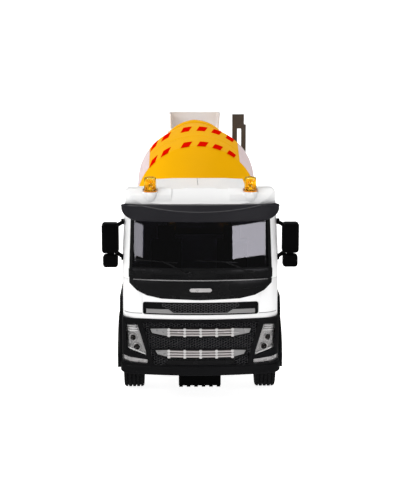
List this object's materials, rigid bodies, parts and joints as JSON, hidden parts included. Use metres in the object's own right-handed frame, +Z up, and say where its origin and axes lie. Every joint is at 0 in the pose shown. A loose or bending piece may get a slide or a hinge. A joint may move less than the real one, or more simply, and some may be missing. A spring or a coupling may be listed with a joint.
{
  "type": "toy cement mixer truck",
  "caption": "Toy cement mixer truck with steering front wheels, dual rear tyres, geared turning drum, hopper, swivelling chute with folding extension, and a glazed cab.",
  "frame": {"origin": "on the floor, at the middle of the overall length and width", "axes": "-Y towards the truck's nose, +X to the truck's own left, +Z up"},
  "size_m": [0.1248, 0.3445, 0.1636],
  "materials": {
    "cab_paint": "glossy white moulded plastic",
    "glass": "dark tinted clear plastic",
    "dark_plastic": "dull black",
    "gloss_black": "glossy blue-black",
    "black_plastic": "satin black",
    "silver": "silver vacuum-plated plastic",
    "clear_plastic": "clear plastic",
    "amber_plastic": "transparent amber plastic",
    "red_plastic": "glossy red",
    "cell_metal": "plain printed sleeve",
    "green_board": "coated board",
    "grey_plastic": "self-lubricating plastic",
    "motor_metal": "plated can",
    "tyre_rubber": "soft black rubber",
    "rim_plastic": "silver painted plastic",
    "steel": "bright bar",
    "white_gear": "natural acetal",
    "brass": "machined",
    "drum_plastic": "glossy yellow with printed panels",
    "cream_plastic": "glossy off-white",
    "brown_plastic": "satin dark grey-brown"
  },
  "bodies": {
    "truck": {"chassis_frame": "black_plastic", "cab_shell": "cab_paint", "roof_panel": "cab_paint", "cab_glazing": "glass", "cab_interior": "dark_plastic", "sun_visor": "gloss_black", "windscreen_cowl": "gloss_black", "wipers": "black_plastic", "front_panel": "gloss_black", "bumper": "black_plastic", "grille_meshes": "black_plastic", "grille_brightwork": "silver", "headlamp_reflectors": "silver", "lamp_lenses": "clear_plastic", "beacon_lenses": "amber_plastic", "mirrors": "gloss_black", "front_fenders": "black_plastic", "battery_box": "black_plastic", "battery_cells": "cell_metal", "circuit_board": "green_board", "gear_housing": "grey_plastic", "motors": "motor_metal", "steering_box": "black_plastic", "drum_pedestal": "black_plastic", "rear_frame": "black_plastic", "hopper": "cream_plastic", "water_tank": "cream_plastic", "fuel_tank": "silver", "air_tanks": "silver", "side_guards": "cream_plastic", "rear_mudguards": "black_plastic", "rear_bumper": "black_plastic", "tail_lamps": "red_plastic", "ladder": "brown_plastic"},
    "left_knuckle": {"knuckle_left": "grey_plastic"},
    "right_knuckle": {"knuckle_right": "grey_plastic"},
    "track_rod": {"tie_rod": "grey_plastic"},
    "servo_arm": {"steering_arm": "grey_plastic"},
    "front_left_wheel": {"front_left_tyre": "tyre_rubber", "front_left_rim": "rim_plastic"},
    "front_right_wheel": {"front_right_tyre": "tyre_rubber", "front_right_rim": "rim_plastic"},
    "rear_axle_1": {"rear_axle_1_tyres": "tyre_rubber", "rear_axle_1_rims": "rim_plastic", "rear_axle_1_shaft": "steel", "axle_gear": "white_gear"},
    "rear_axle_2": {"rear_axle_2_tyres": "tyre_rubber", "rear_axle_2_rims": "rim_plastic", "rear_axle_2_shaft": "steel"},
    "motor_pinion": {"drive_pinion": "brass"},
    "drum": {"drum_front_shell": "drum_plastic", "drum_rear_shell": "drum_plastic", "drum_ring_gear": "white_gear"},
    "drum_motor_pinion": {"drum_pinion": "brass"},
    "left_roller": {"drum_roller_left": "grey_plastic"},
    "right_roller": {"drum_roller_right": "grey_plastic"},
    "chute": {"main_chute": "cream_plastic"},
    "extension": {"chute_extension": "cream_plastic"},
    "battery_cover": {"battery_door": "black_plastic"},
    "switch_slider": {"power_switch": "red_plastic"}
  },
  "joints": [
    {"name": "steer_left", "type": "hinge", "parent": "truck", "child": "left_knuckle", "pos_m": [0.0295, -0.1185, 0.0205], "axis": [0, 0, 1], "range_deg": [-18, 18]},
    {"name": "steer_right", "type": "hinge", "parent": "truck", "child": "right_knuckle", "pos_m": [-0.0295, -0.1185, 0.0205], "axis": [0, 0, 1], "range_deg": [-18, 18]},
    {"name": "track_rod_slide", "type": "slide", "parent": "truck", "child": "track_rod", "axis": [1, 0, 0], "range_m": [-0.0035, 0.0035]},
    {"name": "servo_turn", "type": "hinge", "parent": "truck", "child": "servo_arm", "pos_m": [0, -0.1185, 0.012], "axis": [0, 0, 1], "range_deg": [-18, 18]},
    {"name": "front_left_roll", "type": "hinge", "parent": "left_knuckle", "child": "front_left_wheel", "pos_m": [0.042, -0.1185, 0.0205], "axis": [1, 0, 0], "continuous": true},
    {"name": "front_right_roll", "type": "hinge", "parent": "right_knuckle", "child": "front_right_wheel", "pos_m": [-0.042, -0.1185, 0.0205], "axis": [1, 0, 0], "continuous": true},
    {"name": "rear_axle_1_roll", "type": "hinge", "parent": "truck", "child": "rear_axle_1", "pos_m": [0, 0.0265, 0.0205], "axis": [1, 0, 0], "continuous": true},
    {"name": "rear_axle_2_roll", "type": "hinge", "parent": "truck", "child": "rear_axle_2", "pos_m": [0, 0.0785, 0.0205], "axis": [1, 0, 0], "continuous": true},
    {"name": "motor_spin", "type": "hinge", "parent": "truck", "child": "motor_pinion", "pos_m": [0.007, 0.03615, 0.0286], "axis": [1, 0, 0], "continuous": true},
    {"name": "drum_spin", "type": "hinge", "parent": "truck", "child": "drum", "pos_m": [0, -0.0045, 0.1083], "axis": [0, 0.9681, 0.2504], "continuous": true},
    {"name": "drum_motor_spin", "type": "hinge", "parent": "truck", "child": "drum_motor_pinion", "pos_m": [0, -0.04626, 0.07808], "axis": [0, 0.9681, 0.2504], "continuous": true},
    {"name": "left_roller_spin", "type": "hinge", "parent": "truck", "child": "left_roller", "pos_m": [0.01803, 0.10341, 0.10641], "axis": [0, 0.9681, 0.2504], "continuous": true},
    {"name": "right_roller_spin", "type": "hinge", "parent": "truck", "child": "right_roller", "pos_m": [-0.01803, 0.10341, 0.10641], "axis": [0, 0.9681, 0.2504], "continuous": true},
    {"name": "chute_swivel", "type": "hinge", "parent": "truck", "child": "chute", "pos_m": [0, 0.1325, 0.076], "axis": [0, 0, 1], "range_deg": [-50, 50]},
    {"name": "extension_fold", "type": "hinge", "parent": "chute", "child": "extension", "pos_m": [0, 0.16588, 0.05803], "axis": [1, 0, 0], "range_deg": [-180, 0]},
    {"name": "battery_cover_off", "type": "slide", "parent": "truck", "child": "battery_cover", "axis": [0, 0, -1], "range_m": [0, 0.012]},
    {"name": "switch_slide", "type": "slide", "parent": "truck", "child": "switch_slider", "axis": [1, 0, 0], "range_m": [0, 0.0028]}
  ],
  "couplings": [
    {"joint": "steer_right", "follows": "steer_left", "ratio": 1},
    {"joint": "track_rod_slide", "follows": "steer_left", "m_per_rad": -0.009},
    {"joint": "servo_turn", "follows": "steer_left", "ratio": 1},
    {"joint": "motor_spin", "follows": "rear_axle_1_roll", "ratio": -2.6},
    {"joint": "drum_motor_spin", "follows": "drum_spin", "ratio": -3.2727},
    {"joint": "left_roller_spin", "follows": "drum_spin", "ratio": -4.65},
    {"joint": "right_roller_spin", "follows": "drum_spin", "ratio": -4.65}
  ]
}
